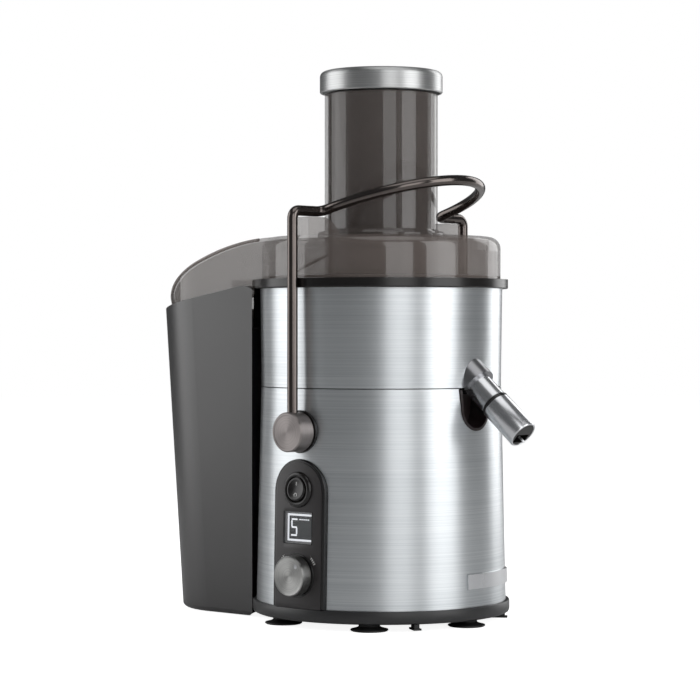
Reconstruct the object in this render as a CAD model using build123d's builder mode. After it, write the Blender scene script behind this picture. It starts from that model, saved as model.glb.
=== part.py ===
"""Centrifugal juicer: steel-clad motor base, juice bowl, smoked lid and chute, rear pulp bin.

Millimetres. The origin is on the table, under the spindle. +Z is up, -Y is the front
(juice spout), +Y the back (pulp bin), -X the side with the controls.
"""
from math import atan, cos, degrees, radians, sin, sqrt
import os

from build123d import *

os.makedirs("parts", exist_ok=True)

# --- Driving dimensions: heights of the stack -------------------------------------------
foot_h = 6.0
base_h = 10.0
motor_h = 166.5
seam_gap = 0.7
bowl_h = 76.3
rim_h = 7.3
lid_h = 33.2
chute_h = 112.8
cap_gap = 0.7
cap_h = 18.0

# --- Driving dimensions: radii, steps and walls -----------------------------------------
body_r = 98.3
body_taper = 3.7
base_step = 2.9
bowl_step = 0.2
bowl_flare = 1.0
rim_step = 4.5
lid_step = 5.9
lid_wall = 2.4
lid_shoulder = 9.0
chute_r = 44.6
chute_wall = 2.4
chute_flange = 5.5
cap_lip = 3.8
sheet = 0.8
floor_t = 3.0
seat_gap = 0.3
run_gap = 0.05
pusher_gap = 1.0

# --- Base tray, feet and cord inlet -----------------------------------------------------
tray_lip_h = 8.0
tray_lip_t = 3.0
foot_r = 14.5
foot_stem_r = 8.0
foot_plug_r = 4.0
foot_inset = 1.2
foot_angles = (0, 56, -56, 112, -112, 180)
cleat_angle = 34.0
vent_ring_r = 58.0
vent_count = 12
inlet_r = 3.9
inlet_air = 6.024

# --- Chassis inside the steel skin ------------------------------------------------------
chassis_gap = 0.6
chassis_wall = 2.6
deck_t = 3.0
deck_drop = 1.0
boss_r_in = 15.5
boss_wall = 2.5
boss_h = 10.5
hanger_len = 24.3

# --- Juice bowl and its centre tube -----------------------------------------------------
bowl_wall = 2.0
upstand_r = 20.0
upstand_h = 20.0
flange_air = 1.6
flange_reach = 8.1
curtain_t = 2.4

# --- Juice spout ------------------------------------------------------------------------
spout_lift = 3.9
spout_tilt = 40.8
spout_r = 10.8
spout_wall = 2.2
spigot_step = 1.3
spigot_len = 11.0
spout_len = 23.6
seal_len = 2.0
sleeve_step = 0.7
sleeve_len = 33.5
collar_step = 3.2
collar_len = 3.0
notch_r = 17.0
notch_flare = 2.5
notch_depth = 32.5
recess_depth = 17.0
recess_wall = 2.0

# --- Locking arm ------------------------------------------------------------------------
pivot_drop = 32.5
arm_r = 4.0
arm_clear = 0.6
arm_lift = 18.0
arm_neck_x = 71.0
arm_reach = 82.0
arm_rise = 24.0
arm_bend = 6.5
knob_r = 15.15
knob_face = 2.8
pad_t = 1.2
pin_r = 5.0
bush_wall = 2.5
bush_len = 12.0
cam_r = 9.0
cam_t = 5.0
cam_throw = 2.0
fin_t = 12.0

# --- Control panel ----------------------------------------------------------------------
panel_w = 25.5
panel_proud = 1.8
panel_air = 4.5
panel_crown_r = 200.0
board_depth = 14.0
window_w = 29.0
window_h = 25.0
switch_lift = 2.4
bezel_r = 13.8
bezel_lip = 1.5
rocker_r = 9.5
rocker_gap = 0.4
rocker_tilt = 7.0
dial_lift = 24.8
dial_r = 15.2
dial_face = 10.0
dial_shaft_r = 3.0

# --- Pulp bin and hood ------------------------------------------------------------------
bin_air = 0.8
bin_w = 71.5
bin_taper = 6.5
bin_reach = 38.0
bin_lean = 12.3
bin_wall = 2.5
bin_lift = 0.5
bin_rim_lift = 2.5
bin_rim_back = 15.7
bin_rim_fall = 0.169
bin_saddle_drop = 31.5
hood_gap = 2.0
hood_back = 1.4
hood_arc_in = 46.0
hood_over = 5.0
hood_tip_lift = 2.409
skirt_drop = 8.0

# --- Filter basket and motor ------------------------------------------------------------
basket_r0 = 47.0
basket_side = 8.4
basket_lift = 23.8
basket_drop = 3.5
basket_lip = 6.3
chute_drop = 72.0
shaft_r = 4.0
coupling_r = 12.0
hub_r = 18.5
hub_flange_r = 32.0
can_r = 45.0
can_wall = 2.0
motor_len = 98.0
end_t = 4.0
armature_r = 23.5
core_len = 40.0
air_gap = 1.0
mount_step = 10.0
bush_h = 5.0
screw_r = 2.0
screw_head_r = 4.2

# --- Heights and radii that follow ------------------------------------------------------
base_z = foot_h
skin_z = base_z + base_h
seam_z = skin_z + motor_h
bowl_z = seam_z + seam_gap
rim_z = bowl_z + bowl_h
lid_z = rim_z + rim_h
lid_top = lid_z + lid_h
chute_top = lid_top + chute_h
cap_z = chute_top + cap_gap
cap_top = cap_z + cap_h

skin_r0 = body_r
skin_r1 = body_r - body_taper
base_r = body_r + base_step
bowl_r0 = skin_r1 - bowl_step
bowl_r1 = bowl_r0 + bowl_flare
rim_r = bowl_r1 + rim_step
lid_r = rim_r - lid_step
cap_r = chute_r + cap_lip


def skin_r(z):
    """Outer radius of the motor housing's steel skin at height z."""
    return skin_r0 + (skin_r1 - skin_r0) * (z - skin_z) / motor_h


def bin_rim(y):
    """Height of the pulp bin's sloping rim at distance y behind the spindle."""
    return bin_rim_z - bin_rim_fall * (y - bin_rim_y)


def bowl_skin_r(z):
    """Outer radius of the juice bowl's steel skin at height z."""
    return bowl_r0 + bowl_flare * (z - bowl_z) / bowl_h


# --- Places that follow -----------------------------------------------------------------
tray_floor = base_z + floor_t
foot_ring_r = base_r - foot_r - foot_inset
foot_spots = [
    (foot_ring_r * sin(radians(a)), -foot_ring_r * cos(radians(a))) for a in foot_angles
]
chassis_r = skin_r1 - sheet - chassis_gap
chassis_bore = chassis_r - chassis_wall
deck_top = seam_z - deck_drop
deck_under = deck_top - deck_t
boss_r_out = boss_r_in + boss_wall
bowl_in_r = bowl_r0 - sheet - seat_gap - bowl_wall
pusher_r = chute_r - chute_wall - pusher_gap
cut_length = 400.0

spout_z = bowl_z + spout_lift
spout_bore_r = spout_r - spout_wall
spigot_r = spout_r - spigot_step
sleeve_r = spout_r + sleeve_step
collar_r = spout_r + collar_step
spout_dir = (0, -cos(radians(spout_tilt)), -sin(radians(spout_tilt)))
spout_plane = Plane(origin=(0, -skin_r1, spout_z), x_dir=(1, 0, 0), z_dir=spout_dir)

pivot_z = seam_z - pivot_drop
arm_x = rim_r + arm_clear + arm_r
arm_top_z = lid_top + arm_lift
knob_x = arm_x + arm_r + knob_face
pad_x = skin_r(pivot_z) + pad_t
bush_r = pin_r + bush_wall
bush_inner = pad_x - bush_len
pin_inner = bush_inner - cam_t - 1
inlet_across = (bin_w + inlet_air) / base_r
inlet_dir = (inlet_across, sqrt(1 - inlet_across ** 2), 0)
inlet_plane = Plane(origin=(0, 0, base_z + base_h / 2), x_dir=(0, 0, 1), z_dir=inlet_dir)
left_plane = Plane(origin=(0, 0, pivot_z), x_dir=(0, -1, 0), z_dir=(-1, 0, 0))

panel_top = pivot_z - knob_r - pad_t - panel_air
panel_z = skin_z + (panel_top - skin_z) * 0.54
panel_arch = panel_top - panel_w - panel_z
panel_bottom = skin_z - panel_z
switch_y = panel_arch + switch_lift
dial_y = panel_bottom + dial_lift
panel_lean = atan(body_taper / motor_h)
panel_plane = Plane(
    origin=(-skin_r(panel_z) - panel_proud, 0, panel_z),
    x_dir=(0, -1, 0),
    z_dir=(-cos(panel_lean), 0, sin(panel_lean)),
)

bin_bore = base_r + bin_air
bin_end = bin_bore + bin_reach
bin_rim_z = rim_z + bin_rim_lift
bin_rim_y = rim_r - bin_rim_back
bin_saddle = rim_z - bin_saddle_drop
hood_w = bin_w - bin_wall - hood_gap
hood_end = bin_end - hood_back
hood_arc_y = lid_r - hood_arc_in
hood_front = sqrt(rim_r ** 2 - (hood_w - lid_wall) ** 2) + seat_gap
hood_back_y = hood_end + hood_w + hood_over
hood_fall = lid_top - (bin_rim(hood_back_y) - skirt_drop + hood_tip_lift)
hood_arc_r = ((hood_back_y - hood_arc_y) ** 2 + hood_fall ** 2) / (2 * hood_fall)
flange_w = hood_w - lid_wall - flange_air

basket_z = bowl_z + basket_lift
basket_top = rim_z - basket_drop
basket_r1 = bowl_in_r - basket_side
basket_rim_r = basket_r1 + basket_lip
disc_z = basket_z + 1
coupling_top = basket_z - 4
motor_z1 = deck_under - hanger_len - bush_h - end_t
motor_z0 = motor_z1 - motor_len
bolt_z = deck_under - hanger_len
core_z = motor_z0 + 38
brush_z = motor_z0 + 24
mount_r = can_r + mount_step
mount_plate_r = mount_r + 7


def save(piece, name):
    """Label a finished piece and write its STEP file."""
    piece.part.label = name
    export_step(piece.part, f"parts/{name}.step")


def turn(points, mode=Mode.ADD):
    """Revolve a closed (radius, height) outline about the spindle, inside a BuildPart."""
    with BuildSketch(Plane.XZ) as outline:
        with BuildLine():
            Polyline(*points, close=True)
        make_face()
    revolve(outline.sketch, axis=Axis.Z, mode=mode)


def tube(outer, inner, low, high, mode=Mode.ADD):
    """A plain ring about the spindle between two heights, inside a BuildPart."""
    with BuildSketch(Plane.XY.offset(low)) as ring:
        Circle(outer)
        if inner > 0:
            Circle(inner, mode=Mode.SUBTRACT)
    extrude(ring.sketch, amount=high - low, mode=mode)


def rod(plane, radius, low, high, at=(0, 0), mode=Mode.ADD):
    """A round bar along a plane's normal from low to high, inside a BuildPart."""
    with BuildSketch(plane.offset(low)) as disc:
        with Locations(at):
            Circle(radius)
    extrude(disc.sketch, amount=high - low, mode=mode)


def block(plane, width, height, low, high, at=(0, 0), mode=Mode.ADD):
    """A rectangular bar along a plane's normal from low to high, inside a BuildPart."""
    with BuildSketch(plane.offset(low)) as face:
        with Locations(at):
            Rectangle(width, height)
    extrude(face.sketch, amount=high - low, mode=mode)


def both_sides(build):
    """Call build(plane) with the pivot plane of each side, its normal pointing outwards."""
    for side in (-1, 1):
        build(Plane(origin=(0, 0, pivot_z), x_dir=(0, side, 0), z_dir=(side, 0, 0)))


def arch(half, bottom, centre):
    """Arch-topped outline: straight sides from bottom to centre, round above."""
    with Locations((0, (bottom + centre) / 2)):
        Rectangle(2 * half, centre - bottom)
    with Locations((0, centre)):
        Circle(half)


def notch(extra):
    """U-shaped opening under the spout, open at the seam, grown by extra all round."""
    low = seam_z - notch_depth + notch_r
    side, top = notch_r + extra, notch_r + notch_flare + extra
    with BuildLine() as outline:
        Polyline((-side, low), (-top, seam_z + 5), (top, seam_z + 5), (side, low))
        ThreePointArc((side, low), (0, low - side), (-side, low))
    make_face(outline.edges())


# === Base ===============================================================================
def make_base_tray():
    """Moulded tray that closes the machine underneath and carries the feet."""
    lip_out = skin_r(skin_z + tray_lip_h) - sheet - seat_gap
    lip_in = lip_out - tray_lip_t
    with BuildPart() as tray:
        turn([
            (0, base_z), (base_r - 2, base_z), (base_r, base_z + 2), (base_r, skin_z - 1),
            (base_r - 1, skin_z), (lip_out, skin_z), (lip_out, skin_z + tray_lip_h),
            (lip_in, skin_z + tray_lip_h), (lip_in, tray_floor), (0, tray_floor),
        ])
        with BuildSketch(Plane.XY.offset(base_z)):
            with Locations(foot_spots):
                Circle(foot_plug_r)
            with PolarLocations(vent_ring_r, vent_count):
                SlotOverall(22, 4)
        extrude(amount=floor_t, mode=Mode.SUBTRACT)
        rod(inlet_plane, inlet_r, chassis_bore - 4, base_r + 2, mode=Mode.SUBTRACT)
    save(tray, "base_tray")


def make_suction_feet():
    """Six rubber suction cups, plugged into the tray floor."""
    with BuildPart() as foot:
        turn([
            (0, 1.6), (foot_r - 3.5, 0.6), (foot_r - 3, 0), (foot_r - 1, 0), (foot_r, 0.6),
            (foot_r - 0.6, 1.8),
            (foot_stem_r, 3.6), (foot_stem_r, base_z), (foot_plug_r, base_z),
            (foot_plug_r, tray_floor), (foot_plug_r + 1, tray_floor),
            (foot_plug_r - 0.5, tray_floor + 2.5), (0, tray_floor + 2.5),
        ])
    with BuildPart() as feet:
        with Locations(foot_spots):
            add(foot.part)
    save(feet, "suction_feet")


def make_cord_gland():
    """Round bush where the mains lead enters through the tray wall."""
    with BuildPart() as gland:
        rod(inlet_plane, inlet_r, chassis_bore - 2, base_r)
        rod(inlet_plane, inlet_r + 0.8, base_r, base_r + 2.5)
        rod(inlet_plane, inlet_r - 1.2, chassis_bore - 4, base_r + 4, mode=Mode.SUBTRACT)
    save(gland, "cord_gland")


def make_cord_cleats():
    """Two hooks under the tray that the lead winds round."""
    ring = base_r - 8
    with BuildPart() as cleats:
        for side in (-1, 1):
            spot = (side * ring * sin(radians(cleat_angle)), -ring * cos(radians(cleat_angle)))
            with BuildSketch(Plane.XY.offset(base_z)) as stem:
                with Locations(spot):
                    Rectangle(4, 9, rotation=side * cleat_angle)
            extrude(stem.sketch, amount=-3.2)
            with BuildSketch(Plane.XY.offset(base_z - 3.2)) as bar:
                with Locations(spot):
                    Rectangle(6, 13, rotation=side * cleat_angle)
            extrude(bar.sketch, amount=-1.4)
    save(cleats, "cord_cleats")


# === Motor housing ======================================================================
def make_motor_skin():
    """Brushed steel shell round the motor, cut for the panel, spout and arm pivots."""
    with BuildPart() as skin:
        turn([(skin_r0 - sheet, skin_z), (skin_r0, skin_z), (skin_r1, seam_z),
              (skin_r1 - sheet, seam_z)])
        with BuildSketch(panel_plane.offset(-25)):
            arch(panel_w + 0.2, panel_bottom - 5, panel_arch)
        extrude(amount=60, mode=Mode.SUBTRACT)
        with BuildSketch(Plane.XZ.offset(60)):
            notch(0)
        extrude(amount=60, mode=Mode.SUBTRACT)
        both_sides(lambda side: rod(side, bush_r + 0.5, bush_inner, arm_x, mode=Mode.SUBTRACT))
    save(skin, "motor_skin")


def make_chassis():
    """Moulded inner housing: wall, deck, bearing boss and motor screw bosses."""
    with BuildPart() as chassis:
        inner = chassis_bore
        turn([
            (inner, tray_floor), (chassis_r, tray_floor), (chassis_r, deck_top),
            (boss_r_out, deck_top), (boss_r_out, deck_top + boss_h),
            (boss_r_in, deck_top + boss_h), (boss_r_in, deck_under), (inner, deck_under),
        ])
        with BuildSketch(Plane.XY.offset(bolt_z)):
            with PolarLocations(mount_r, 4, start_angle=45):
                Circle(5)
        extrude(amount=deck_under - bolt_z)
        both_sides(lambda side: rod(side, bush_r + 3, bush_inner, chassis_r - 0.6))
        both_sides(lambda side: rod(side, bush_r, bush_inner - 2, arm_x, mode=Mode.SUBTRACT))
        rod(inlet_plane, inlet_r + seat_gap, chassis_bore - 4, arm_x, mode=Mode.SUBTRACT)
        with BuildSketch(panel_plane.offset(-30)):
            arch(panel_w - 3.5, panel_bottom + tray_lip_h + 2, panel_arch)
        extrude(amount=60, mode=Mode.SUBTRACT)
        with BuildSketch(Plane.XZ.offset(skin_r1 - recess_depth - recess_wall)):
            notch(-0.2)
        extrude(amount=60, mode=Mode.SUBTRACT)
        with BuildSketch(Plane.XY.offset(bolt_z)):
            with PolarLocations(mount_r, 4, start_angle=45):
                Circle(screw_r)
        extrude(amount=deck_under - bolt_z - 4, mode=Mode.SUBTRACT)
    save(chassis, "chassis")


def make_spout_recess():
    """Dark moulded pocket that lines the opening under the spout."""
    back = skin_r1 - recess_depth - recess_wall
    with BuildPart() as recess:
        with BuildSketch(Plane.XZ.offset(back)):
            notch(-0.2)
        extrude(amount=60)
        with BuildSketch(Plane.XZ.offset(back + recess_wall)):
            notch(-0.2 - recess_wall)
        extrude(amount=60, mode=Mode.SUBTRACT)
        tube(cut_length, skin_r1 + 1.2, 0, cut_length, mode=Mode.SUBTRACT)
        tube(cut_length, 0, deck_top, cut_length, mode=Mode.SUBTRACT)
    save(recess, "spout_recess")


def make_badge_plate():
    """Blank curved badge on the lower front of the steel skin."""
    low, high, thick = 29.6, 41.6, 1.6
    with BuildPart() as badge:
        turn([(skin_r(low), low), (skin_r(low) + thick, low + 0.4),
              (skin_r(high) + thick, high - 0.4), (skin_r(high), high)])
        wedge = Plane.XY.offset(low - 5)
        reach = 130
        start, stop = radians(-98.2), radians(-56.0)
        with BuildSketch(wedge):
            with BuildLine():
                Polyline((0, 0), (reach * cos(start), reach * sin(start)),
                         (reach * cos((start + stop) / 2) * 1.1,
                          reach * sin((start + stop) / 2) * 1.1),
                         (reach * cos(stop), reach * sin(stop)), close=True)
            make_face()
        extrude(amount=40, mode=Mode.INTERSECT)
    save(badge, "badge_plate")


# === Controls ===========================================================================
def make_control_panel():
    """Arch-topped moulded fascia with openings for switch, display and dial."""
    crown = panel_plane.offset(-panel_crown_r)
    crown_axis = Plane(origin=crown.origin, x_dir=(0, -1, 0), z_dir=crown.y_dir)
    with BuildPart() as panel:
        with BuildSketch(panel_plane.offset(-12)):
            arch(panel_w, panel_bottom + 0.2, panel_arch)
        extrude(amount=20)
        with BuildSketch(crown_axis.offset(-150)):
            Circle(panel_crown_r)
        extrude(amount=300, mode=Mode.INTERSECT)
        tube(chassis_r, 0, 0, cut_length, mode=Mode.SUBTRACT)
        tube(skin_r0 - sheet, 0, 0, skin_z + tray_lip_h + seat_gap, mode=Mode.SUBTRACT)
        fillet(panel.faces().sort_by(Axis.X)[0].edges(), 0.8)
        with BuildSketch(panel_plane.offset(-board_depth)):
            with Locations((-15, switch_y + 9), (15, switch_y + 9), (-17, dial_y), (17, dial_y)):
                Circle(2.2)
        extrude(amount=board_depth - 3)
        rod(panel_plane, bezel_r, -0.6, 5, at=(0, switch_y), mode=Mode.SUBTRACT)
        rod(panel_plane, bezel_r - bezel_lip, -20, 5, at=(0, switch_y), mode=Mode.SUBTRACT)
        rod(panel_plane, dial_shaft_r + 0.6, -20, 5, at=(0, dial_y), mode=Mode.SUBTRACT)
        block(panel_plane, window_w, window_h, -20, 5, mode=Mode.SUBTRACT)
    save(panel, "control_panel")


def make_display():
    """Display lens flush in the fascia, and the display module behind it."""
    with BuildPart() as lens:
        block(panel_plane, window_w, window_h, -2.6, -1.2)
    save(lens, "display_lens")
    with BuildPart() as module:
        block(panel_plane, window_w - 0.4, window_h - 0.4, -board_depth, -2.6)
    save(module, "display_module")


def make_control_board():
    """Circuit board on the fascia's four posts, with its tallest components."""
    low = -board_depth - 1.6
    top_y, low_y = switch_y + 15, dial_y - 12
    hole = 2 * rocker_r + 1 + 2 * seat_gap
    with BuildPart() as board:
        block(panel_plane, 42, top_y - low_y, low, -board_depth, at=(0, (top_y + low_y) / 2))
        block(panel_plane, 14, 10, low - 3, low, at=(0, 6))
        rod(panel_plane, 5, low - 12, low, at=(-11, dial_y + 14))
        block(panel_plane, 16, 12, low - 9, low, at=(9, dial_y + 10))
        block(panel_plane, hole, hole, low - 1, -board_depth + 1, at=(0, switch_y),
              mode=Mode.SUBTRACT)
    save(board, "control_board")


def make_speed_control():
    """Rotary encoder on the board, and the spun metal dial with its shaft."""
    with BuildPart() as encoder:
        block(panel_plane, 12, 12, -board_depth, -7.5, at=(0, dial_y))
        rod(panel_plane, dial_shaft_r + run_gap, -board_depth + 2, -7, at=(0, dial_y),
            mode=Mode.SUBTRACT)
    save(encoder, "speed_encoder")
    with BuildPart() as shaft:
        rod(panel_plane, dial_shaft_r, -board_depth + 2.3, dial_face - 3, at=(0, dial_y))
    save(shaft, "dial_shaft")
    with BuildPart() as dial:
        rod(panel_plane, dial_r, 0.6, dial_face, at=(0, dial_y))
        chamfer(dial.faces().sort_by(Axis.X)[0].edges(), 0.7)
        rod(panel_plane, dial_shaft_r, -1, dial_face - 3, at=(0, dial_y), mode=Mode.SUBTRACT)
        with BuildSketch(panel_plane.offset(0)):
            with Locations((0, dial_y)):
                Circle(dial_r - 2)
                Circle(dial_shaft_r + 3, mode=Mode.SUBTRACT)
        extrude(amount=dial_face - 3, mode=Mode.SUBTRACT)
        dimple = (6.9, dial_y + 7.6)
        rod(panel_plane, 1.7, dial_face - 0.8, dial_face + 1, at=dimple, mode=Mode.SUBTRACT)
    save(dial, "speed_dial")


def make_power_switch():
    """Round rocker switch: bezel, rocker pad and the switch body behind."""
    with BuildPart() as bezel:
        rod(panel_plane, bezel_r, -0.6, 2.6, at=(0, switch_y))
        fillet(bezel.faces().sort_by(Axis.X)[0].edges(), 1.2)
        rod(panel_plane, bezel_r - bezel_lip, -6.0, 0.5, at=(0, switch_y))
        rod(panel_plane, rocker_r + rocker_gap, -7, 4, at=(0, switch_y), mode=Mode.SUBTRACT)
    save(bezel, "switch_bezel")
    centre = panel_plane.from_local_coords((0, switch_y, 0))
    tilt = radians(rocker_tilt)
    tipped = Plane(
        origin=centre,
        x_dir=(0, -1, 0),
        z_dir=panel_plane.z_dir * cos(tilt) + panel_plane.y_dir * sin(tilt),
    )
    face, back = 3.2, -4.0
    profile = Plane(origin=centre, x_dir=tipped.x_dir, z_dir=-tipped.y_dir)
    face_r = sqrt(rocker_r ** 2 - face ** 2)
    back_r = sqrt(rocker_r ** 2 - back ** 2)
    with BuildPart() as rocker:
        with BuildSketch(profile):
            with BuildLine():
                Polyline((0, face - 1.2), (0, back - 1.2), (1.6, back - 1.2), (1.6, back),
                         (back_r, back), (rocker_r, 0), (face_r, face), close=True)
            make_face()
        revolve(axis=Axis(centre, tipped.z_dir))
    save(rocker, "switch_rocker")
    with BuildPart() as body:
        block(panel_plane, 2 * rocker_r + 1, 2 * rocker_r + 1, -26, -6.0, at=(0, switch_y))
        rod(panel_plane, rocker_r - 1, -9, -5, at=(0, switch_y), mode=Mode.SUBTRACT)
    save(body, "switch_body")


# === Locking arm ========================================================================
def make_locking_arm():
    """One bent rod: two legs, two short necks and a loop round the front of the chute."""
    slope = sqrt(arm_reach ** 2 + arm_rise ** 2)
    corner = arm_neck_x
    points = [
        (-arm_x, 0, pivot_z + arm_r), (-arm_x, 0, arm_top_z), (-corner, 0, arm_top_z),
        (-corner, -arm_reach, arm_top_z + arm_rise), (corner, -arm_reach, arm_top_z + arm_rise),
        (corner, 0, arm_top_z), (arm_x, 0, arm_top_z), (arm_x, 0, pivot_z + arm_r),
    ]
    loop_r = min(corner, slope - arm_bend) - 2
    bends = [arm_bend, arm_bend, loop_r, loop_r, arm_bend, arm_bend]
    with BuildPart() as arm:
        with BuildLine() as path:
            FilletPolyline(*points, radius=bends)
        with BuildSketch(Plane(origin=points[0], z_dir=(0, 0, 1))):
            Circle(arm_r)
        sweep(path=path.wires()[0])
    save(arm, "locking_arm")


def make_arm_pivots():
    """Knobs, pins, bushes and cover pads at the two ends of the arm."""
    back = pad_x + seat_gap
    pin_outer = arm_x - arm_r - 0.4
    with BuildPart() as knobs:
        both_sides(lambda side: rod(side, knob_r, back, knob_x))
        chamfer(knobs.edges().filter_by(GeomType.CIRCLE).group_by(Axis.X)[0], 0.8)
        chamfer(knobs.edges().filter_by(GeomType.CIRCLE).group_by(Axis.X)[-1], 0.8)
        both_sides(lambda side: rod(side, pin_r, back - 1, pin_outer, mode=Mode.SUBTRACT))
        with BuildSketch(Plane.XY.offset(pivot_z + arm_r)):
            with Locations((-arm_x, 0), (arm_x, 0)):
                Circle(arm_r)
        extrude(amount=knob_r + 10, mode=Mode.SUBTRACT)
    save(knobs, "pivot_knobs")
    with BuildPart() as pins:
        both_sides(lambda side: rod(side, pin_r, pin_inner, pin_outer))
    save(pins, "pivot_pins")
    with BuildPart() as bushes:
        both_sides(lambda side: rod(side, bush_r, bush_inner, pad_x))
        both_sides(lambda side: rod(side, pin_r + run_gap, pin_inner, arm_x, mode=Mode.SUBTRACT))
    save(bushes, "pivot_bushes")
    with BuildPart() as pads:
        both_sides(lambda side: rod(side, knob_r + pad_t, bush_inner, pad_x))
        turn([(0, skin_z), (skin_r0, skin_z), (skin_r1, seam_z), (0, seam_z)],
             mode=Mode.SUBTRACT)
        both_sides(lambda side: rod(side, bush_r, bush_inner - 1, arm_x, mode=Mode.SUBTRACT))
    save(pads, "pivot_pads")


def make_interlock():
    """Eccentric cam on the left pivot pin, and the safety switch that it holds down."""
    cam_face = pin_inner
    with BuildPart() as cam:
        rod(left_plane, cam_r, cam_face, cam_face + cam_t, at=(0, -cam_throw))
        rod(left_plane, pin_r, cam_face - 1, cam_face + cam_t + 1, mode=Mode.SUBTRACT)
    save(cam, "interlock_cam")
    top = pivot_z - cam_r - cam_throw - 0.1
    middle = -(cam_face + cam_t / 2)
    with BuildPart() as plunger:
        with BuildSketch(Plane.XY.offset(top - 9)):
            with Locations((middle, 0)):
                Circle(1.5)
        extrude(amount=9)
    save(plunger, "interlock_plunger")
    with BuildPart() as switch:
        with BuildSketch(Plane.XY.offset(top - 13)):
            with Locations((0.2 - chassis_bore + 8, 0)):
                Rectangle(16, 24)
        extrude(amount=10)
        tube(cut_length, chassis_bore, 0, cut_length, mode=Mode.SUBTRACT)
        with BuildSketch(Plane.XY.offset(top - 11)):
            with Locations((middle, 0)):
                Circle(1.5 + run_gap)
        extrude(amount=20, mode=Mode.SUBTRACT)
    save(switch, "interlock_switch")


# === Juice bowl =========================================================================
def make_bowl_skin():
    """Steel band round the juice bowl, notched at the bottom edge for the spout."""
    with BuildPart() as band:
        turn([(bowl_r0 - sheet, bowl_z), (bowl_r0, bowl_z), (bowl_r1, rim_z),
              (bowl_r1 - sheet, rim_z)])
        rod(spout_plane, collar_r - 0.2, -25, 30, mode=Mode.SUBTRACT)
    save(band, "bowl_skin")


def make_juice_bowl():
    """Moulded juice bowl: wall, floor, centre tube and the outlet to the spout."""
    outer = bowl_r0 - sheet - seat_gap
    floor = bowl_z + 0.8
    with BuildPart() as bowl:
        turn([
            (upstand_r, floor), (outer, floor), (outer, rim_z), (outer - bowl_wall, rim_z),
            (outer - bowl_wall, floor + floor_t), (upstand_r + 2.4, floor + floor_t),
            (upstand_r + 2.4, floor + upstand_h), (upstand_r, floor + upstand_h),
        ])
        rod(spout_plane, collar_r - 0.2, -16, -2)
        tube(cut_length, outer, 0, cut_length, mode=Mode.SUBTRACT)
        rod(spout_plane, spout_bore_r, -40, 20, mode=Mode.SUBTRACT)
        rod(spout_plane, spout_r, -9, 20, mode=Mode.SUBTRACT)
    save(bowl, "juice_bowl")


def make_bowl_rim():
    """Black rim on the bowl, its ledge out over the bin and a curtain under the ledge."""
    inner = bowl_in_r - 0.7
    edge = rim_r + flange_reach
    curtain_r = bin_bore - bin_air
    curtain_z = bin_saddle + 1
    with BuildPart() as rim:
        tube(rim_r, 0, rim_z, lid_z)
        with BuildSketch(Plane.XY.offset(rim_z)):
            with BuildLine():
                Polyline((-flange_w, 0), (-flange_w, edge - 6), (-flange_w + 6, edge),
                         (flange_w - 6, edge), (flange_w, edge - 6), (flange_w, 0),
                         close=True)
            make_face()
        extrude(amount=rim_h)
        tube(inner, 0, rim_z - 1, lid_z + 1, mode=Mode.SUBTRACT)
        tube(lid_r - 1.5, lid_r - 3.5, lid_z - 2, lid_z + 1, mode=Mode.SUBTRACT)
        fillet(rim.faces().sort_by(Axis.Z)[0].outer_wire().edges(), 1.0)
        with BuildSketch(Plane.XY.offset(curtain_z)):
            Circle(curtain_r)
            Circle(curtain_r - curtain_t, mode=Mode.SUBTRACT)
            with Locations((0, curtain_r)):
                Rectangle(2 * (flange_w - curtain_t), curtain_r, mode=Mode.INTERSECT)
        extrude(amount=rim_z + rim_h / 2 - curtain_z)
    save(rim, "bowl_rim")


def make_lid_seal():
    """Silicone ring in the rim's groove, under the lid."""
    with BuildPart() as seal:
        tube(lid_r - 1.5, lid_r - 3.5, lid_z - 2, lid_z)
    save(seal, "lid_seal")


# === Spout ==============================================================================
def make_spout():
    """Spout tube, its collar at the bowl, the seal and the turning drip-stop sleeve."""
    with BuildPart() as pipe:
        rod(spout_plane, spout_r, -9, spout_len)
        rod(spout_plane, spigot_r, spout_len, spout_len + spigot_len)
        rod(spout_plane, spout_bore_r, -20, 60, mode=Mode.SUBTRACT)
    save(pipe, "spout_tube")
    with BuildPart() as collar:
        rod(spout_plane, collar_r, -20, collar_len)
        rod(spout_plane, spout_r, -30, 30, mode=Mode.SUBTRACT)
        low, high = bowl_z - 30, rim_z
        turn([(0, low), (bowl_skin_r(low) + 0.1, low), (bowl_skin_r(high) + 0.1, high),
              (0, high)], mode=Mode.SUBTRACT)
    save(collar, "spout_collar")
    with BuildPart() as seal:
        rod(spout_plane, sleeve_r, spout_len, spout_len + seal_len)
        rod(spout_plane, spigot_r, spout_len - 1, spout_len + seal_len + 1,
            mode=Mode.SUBTRACT)
    save(seal, "spout_seal")
    start = spout_len + seal_len + seat_gap
    stop = start + sleeve_len
    with BuildPart() as sleeve:
        rod(spout_plane, sleeve_r, start, stop)
        rod(spout_plane, spigot_r + run_gap, start - 1, stop + 1, mode=Mode.SUBTRACT)
    save(sleeve, "drip_sleeve")
    with BuildPart() as plug:
        rod(spout_plane, spigot_r + run_gap, stop - 12, stop)
        rod(spout_plane, spigot_r - 1.2, stop - 13, stop - 3, mode=Mode.SUBTRACT)
        block(spout_plane, 1.5 * spigot_r, 0.8 * spigot_r, stop - 5, stop + 1,
              at=(0, -0.4 * spigot_r), mode=Mode.SUBTRACT)
    save(plug, "drip_stop")


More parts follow.
